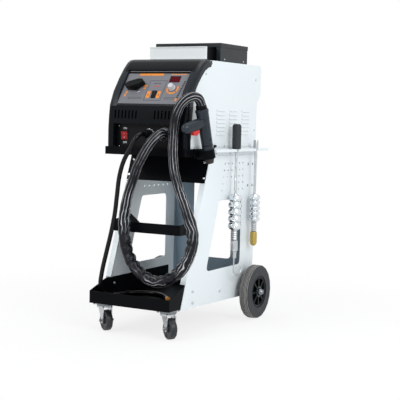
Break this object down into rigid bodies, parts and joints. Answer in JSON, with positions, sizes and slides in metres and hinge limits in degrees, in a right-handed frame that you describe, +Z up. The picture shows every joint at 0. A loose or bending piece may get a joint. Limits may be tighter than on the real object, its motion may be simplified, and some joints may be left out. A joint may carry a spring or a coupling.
{
  "type": "dent pulling spot welder",
  "caption": "Spot welder for pulling dents out of car body panels, on a wheeled trolley with a gun, an earth lead, slide hammers and a tool drawer.",
  "frame": {"origin": "on the floor under the middle of the machine's width and depth", "axes": "+Z up, -Y towards the machine's front with its control panel, +X towards its right side with the gun and the slide hammers"},
  "size_m": [0.4, 0.55, 0.85],
  "materials": {
    "white_paint": "satin powder coat",
    "black_paint": "fine textured powder coat",
    "slate_paint": "satin powder coat",
    "grey_paint": "satin powder coat",
    "slate_plastic": "fine moulded grain",
    "black_plastic": "moulded",
    "panel_print": "printed film",
    "red_plastic": "moulded",
    "red_window": "clear tinted",
    "white_plastic": "moulded",
    "rubber": "matt",
    "tyre": "matt",
    "caster_rubber": "satin",
    "sleeve": "woven sleeve",
    "zinc": "zinc plated",
    "chrome": "polished",
    "brass": "turned",
    "copper": "worn",
    "core_steel": "laminated",
    "board_green": "satin"
  },
  "bodies": {
    "trolley": {"right_side_panel": "white_paint", "left_side_panel": "white_paint", "tool_rack": "white_paint", "case_cover": "white_paint", "base_tray": "black_paint", "front_deflector": "black_paint", "mid_shelf": "black_paint", "platform_shelf": "black_paint", "gun_holder": "black_paint", "case_base": "black_paint", "toolbox_body": "black_paint", "toolbox_top": "black_paint", "rear_plate": "slate_paint", "front_bezel": "slate_plastic", "gun_body": "slate_plastic", "fan_frame": "black_plastic", "mains_inlet": "black_plastic", "socket_panel": "black_plastic", "gun_socket": "black_plastic", "ground_plug": "black_plastic", "gun_plug": "black_plastic", "control_panel": "panel_print", "display_window": "red_window", "hook_hammer_grip": "rubber", "ground_cable": "rubber", "gun_cable": "sleeve", "rear_axle": "zinc", "left_caster_plate": "zinc", "right_caster_plate": "zinc", "hook_hammer_rod": "zinc", "hook_hammer_collet": "zinc", "stud_hammer_rod": "zinc", "stud_hammer_cap": "zinc", "ground_socket": "zinc", "left_axle_nut": "chrome", "right_axle_nut": "chrome", "stud_hammer_nozzle": "brass", "gun_nozzle": "copper", "ground_lug": "copper", "transformer": "core_steel", "control_board": "board_green"},
    "left_wheel": {"left_rim": "slate_plastic", "left_tyre": "tyre"},
    "right_wheel": {"right_rim": "slate_plastic", "right_tyre": "tyre"},
    "left_swivel": {"left_caster_fork": "zinc"},
    "right_swivel": {"right_caster_fork": "zinc"},
    "left_roller": {"left_caster_wheel": "caster_rubber"},
    "right_roller": {"right_caster_wheel": "caster_rubber"},
    "fan": {"fan_rotor": "black_plastic"},
    "selector": {"selector_knob": "black_plastic"},
    "power_dial": {"power_knob": "white_plastic"},
    "mode_switch": {"mode_rocker": "black_plastic"},
    "power_switch": {"power_rocker": "red_plastic"},
    "drawer": {"drawer_tray": "black_paint", "drawer_front": "grey_paint"},
    "trigger": {"gun_trigger": "red_plastic"},
    "hook_weight": {"hook_hammer_weight": "chrome"},
    "stud_weight": {"stud_hammer_weight": "chrome"}
  },
  "joints": [
    {"name": "left_wheel_spin", "type": "hinge", "parent": "trolley", "child": "left_wheel", "pos_m": [-0.1719, 0.1905, 0.0845], "axis": [1, 0, 0], "continuous": true},
    {"name": "left_caster_swivel", "type": "hinge", "parent": "trolley", "child": "left_swivel", "pos_m": [-0.1085, -0.233, 0.07], "axis": [0, 0, 1], "continuous": true},
    {"name": "left_caster_roll", "type": "hinge", "parent": "left_swivel", "child": "left_roller", "pos_m": [-0.09676, -0.24063, 0.031], "axis": [0.5446, 0.8387, 0], "continuous": true},
    {"name": "right_wheel_spin", "type": "hinge", "parent": "trolley", "child": "right_wheel", "pos_m": [0.1719, 0.1905, 0.0845], "axis": [1, 0, 0], "continuous": true},
    {"name": "right_caster_swivel", "type": "hinge", "parent": "trolley", "child": "right_swivel", "pos_m": [0.1085, -0.233, 0.07], "axis": [0, 0, 1], "continuous": true},
    {"name": "right_caster_roll", "type": "hinge", "parent": "right_swivel", "child": "right_roller", "pos_m": [0.12024, -0.24063, 0.031], "axis": [0.5446, 0.8387, 0], "continuous": true},
    {"name": "fan_spin", "type": "hinge", "parent": "trolley", "child": "fan", "pos_m": [0, 0.231, 0.6921], "axis": [0, 1, 0], "continuous": true},
    {"name": "selector_turn", "type": "hinge", "parent": "trolley", "child": "selector", "pos_m": [-0.061, -0.15846, 0.7153], "axis": [0, -0.8202, 0.5721], "range_deg": [-100, 60]},
    {"name": "power_turn", "type": "hinge", "parent": "trolley", "child": "power_dial", "pos_m": [0.0626, -0.16189, 0.71038], "axis": [0, -0.8202, 0.5721], "range_deg": [-150, 120]},
    {"name": "mode_rock", "type": "hinge", "parent": "trolley", "child": "mode_switch", "pos_m": [0.008, -0.16956, 0.6889], "axis": [1, 0, 0], "range_deg": [-13, 0]},
    {"name": "power_rock", "type": "hinge", "parent": "trolley", "child": "power_switch", "pos_m": [-0.0855, -0.177, 0.5696], "axis": [1, 0, 0], "range_deg": [-13, 0]},
    {"name": "drawer_slide", "type": "slide", "parent": "trolley", "child": "drawer", "axis": [0, -1, 0], "range_m": [-0.06, 0.09]},
    {"name": "trigger_pull", "type": "hinge", "parent": "trolley", "child": "trigger", "pos_m": [0.16096, -0.17635, 0.59123], "axis": [-0.9659, 0.2588, 0], "range_deg": [0, 8], "stiffness_Nm_per_rad": 0.4, "springref_deg": -8.59},
    {"name": "hook_weight_slide", "type": "slide", "parent": "trolley", "child": "hook_weight", "axis": [0, 0, 1], "range_m": [0, 0.125]},
    {"name": "stud_weight_slide", "type": "slide", "parent": "trolley", "child": "stud_weight", "axis": [0, 0, 1], "range_m": [0, 0.13]}
  ]
}
